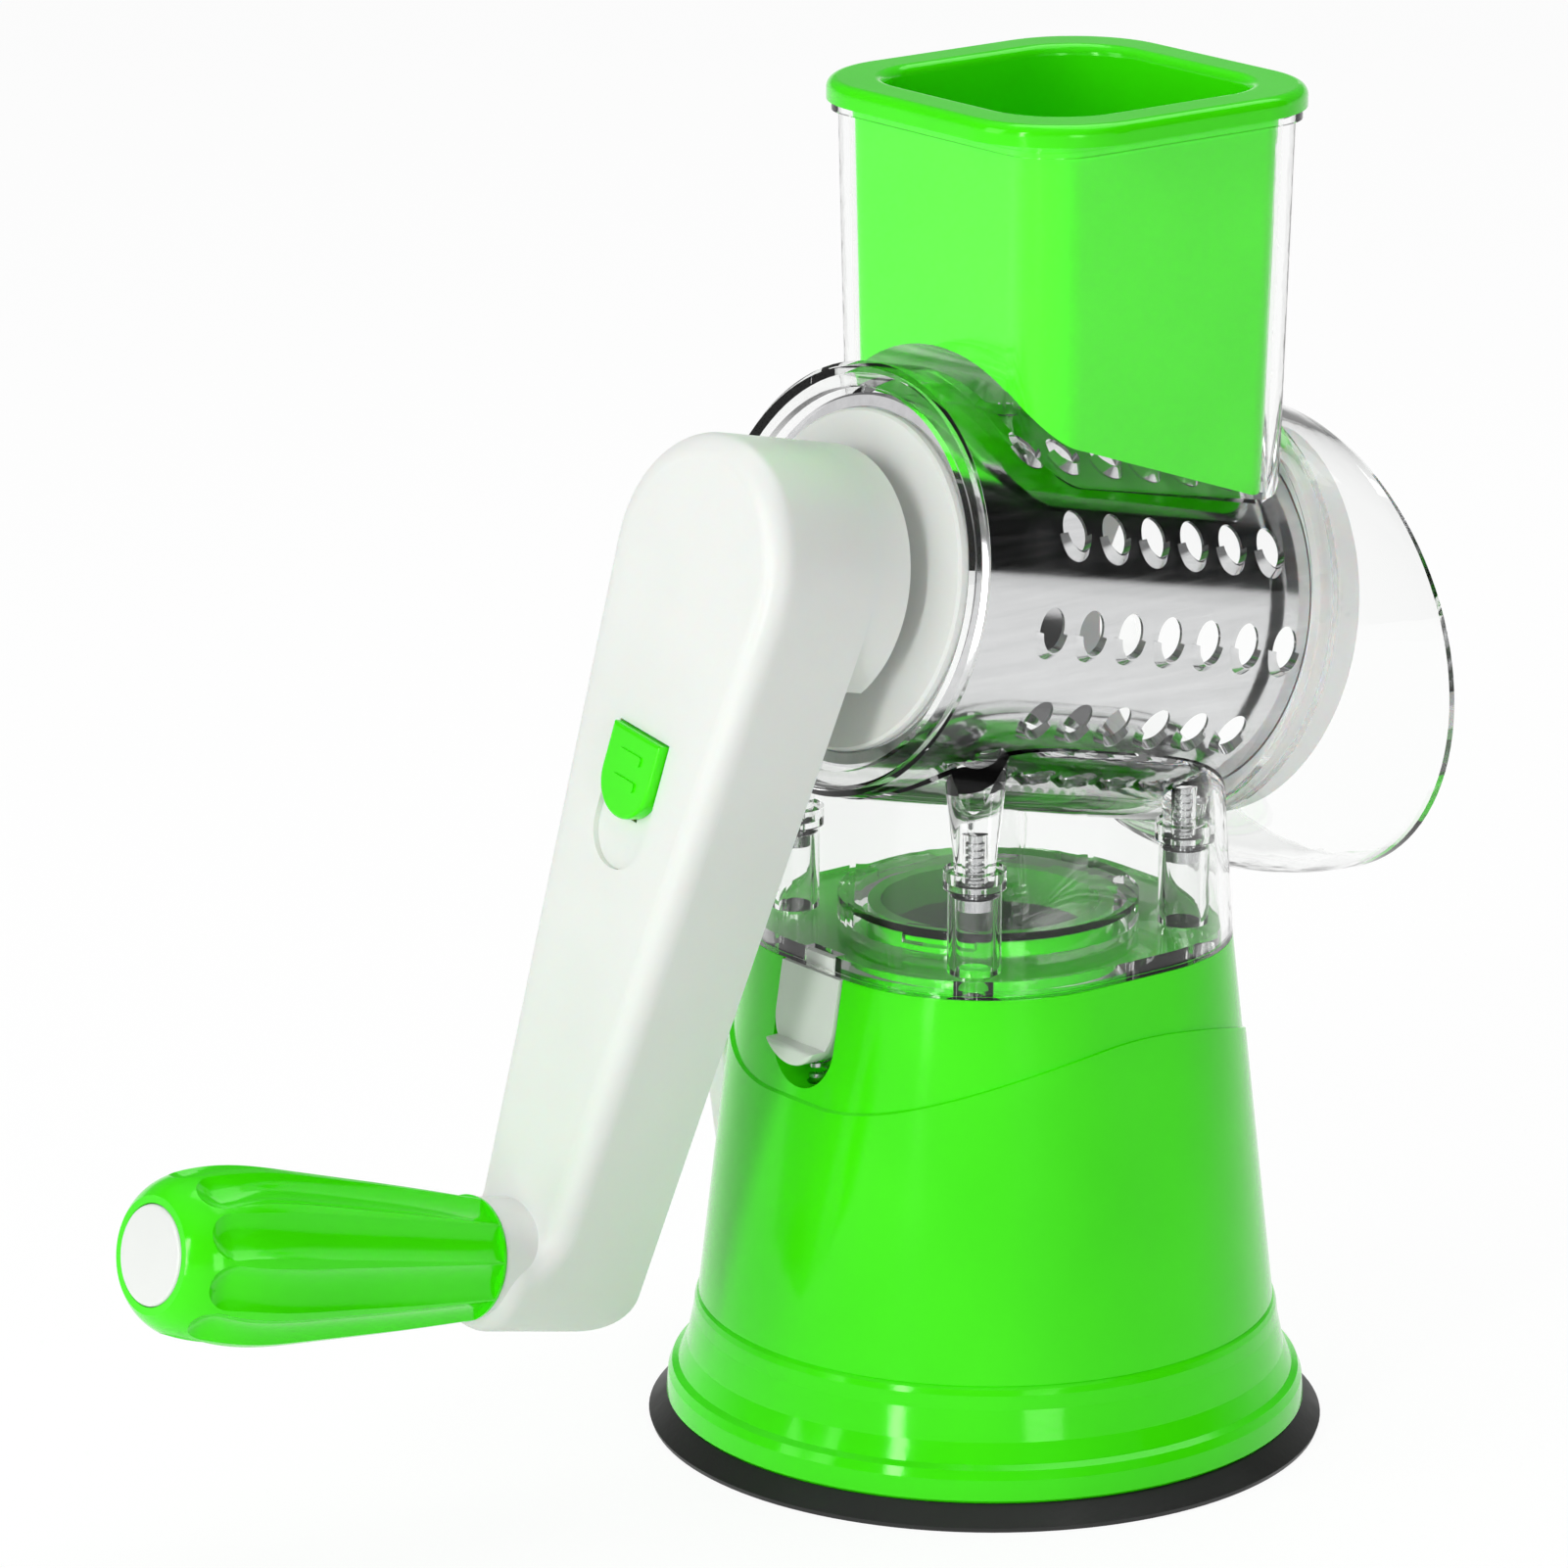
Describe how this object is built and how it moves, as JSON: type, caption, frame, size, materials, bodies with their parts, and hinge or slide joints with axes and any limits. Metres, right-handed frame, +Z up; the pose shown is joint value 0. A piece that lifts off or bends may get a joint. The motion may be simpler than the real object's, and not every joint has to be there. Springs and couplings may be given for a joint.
{
  "type": "rotary cabbage shredder",
  "caption": "Hand cranked rotary shredder: clear housing with a square hopper and flared outlet over a perforated steel drum, on a conical base with a lever-worked suction foot.",
  "frame": {"origin": "centre of the suction foot's bottom face, on the table", "axes": "+Z up; +X towards the outlet and away from the crank; +Y completes the right-handed frame, towards the suction lever"},
  "size_m": [0.2522, 0.129, 0.2496],
  "materials": {
    "green_plastic": "glossy injection moulding",
    "white_plastic": "satin injection moulding",
    "clear_plastic": "clear glossy injection moulding",
    "ring_plastic": "milky translucent moulding",
    "black_rubber": "smooth matt rubber",
    "drum_steel": "polished stainless steel sheet",
    "plain_steel": "bright zinc-plated steel"
  },
  "bodies": {
    "base": {"suction_cup": "black_rubber", "base_shell": "green_plastic", "guide_plate": "white_plastic", "guide_plate_screws": "plain_steel", "release_tab_spring": "plain_steel", "floor_plate": "clear_plastic", "body_screws": "plain_steel", "body_shell": "clear_plastic"},
    "lever": {"suction_lever": "white_plastic", "lever_axle": "plain_steel", "lever_screw": "plain_steel"},
    "stem": {"suction_stem": "white_plastic"},
    "tab": {"release_tab": "white_plastic"},
    "pusher": {"pusher": "green_plastic"},
    "crank": {"drum_barrel": "drum_steel", "drum_hub": "white_plastic", "drum_outlet_ring": "ring_plastic", "crank_arm": "white_plastic", "crank_back_cover": "white_plastic", "crank_screws": "plain_steel", "grip_axle": "plain_steel", "grip_screw": "plain_steel", "latch_spring": "plain_steel"},
    "latch": {"slide_button": "green_plastic", "latch_slider": "white_plastic"},
    "grip": {"grip": "green_plastic", "grip_cap": "white_plastic"}
  },
  "joints": [
    {"name": "lever_turn", "type": "hinge", "parent": "base", "child": "lever", "pos_m": [0, 0.058, 0.032], "axis": [0, 1, 0], "range_deg": [0, 90]},
    {"name": "stem_lift", "type": "slide", "parent": "base", "child": "stem", "axis": [0, 0, 1], "range_m": [0, 0.0057]},
    {"name": "tab_push", "type": "slide", "parent": "base", "child": "tab", "axis": [0, 0, -1], "range_m": [0, 0.0042], "stiffness_N_per_m": 200, "springref_m": -0.004, "deforming": ["release_tab_spring"]},
    {"name": "pusher_lift", "type": "slide", "parent": "base", "child": "pusher", "axis": [0, 0, 1], "range_m": [0, 0.075]},
    {"name": "crank_turn", "type": "hinge", "parent": "base", "child": "crank", "pos_m": [0, 0, 0.1577], "axis": [0.9748, 0, -0.2233], "continuous": true},
    {"name": "button_slide", "type": "slide", "parent": "crank", "child": "latch", "axis": [-0.2213, 0.1323, -0.9662], "range_m": [0, 0.009], "stiffness_N_per_m": 150, "springref_m": -0.004, "deforming": ["latch_spring"]},
    {"name": "grip_turn", "type": "hinge", "parent": "crank", "child": "grip", "pos_m": [-0.13937, 0.01738, 0.056], "axis": [0.9748, 0, -0.2233], "continuous": true}
  ],
  "couplings": [
    {"joint": "stem_lift", "follows": "lever_turn", "m_per_rad": 0.0036}
  ]
}
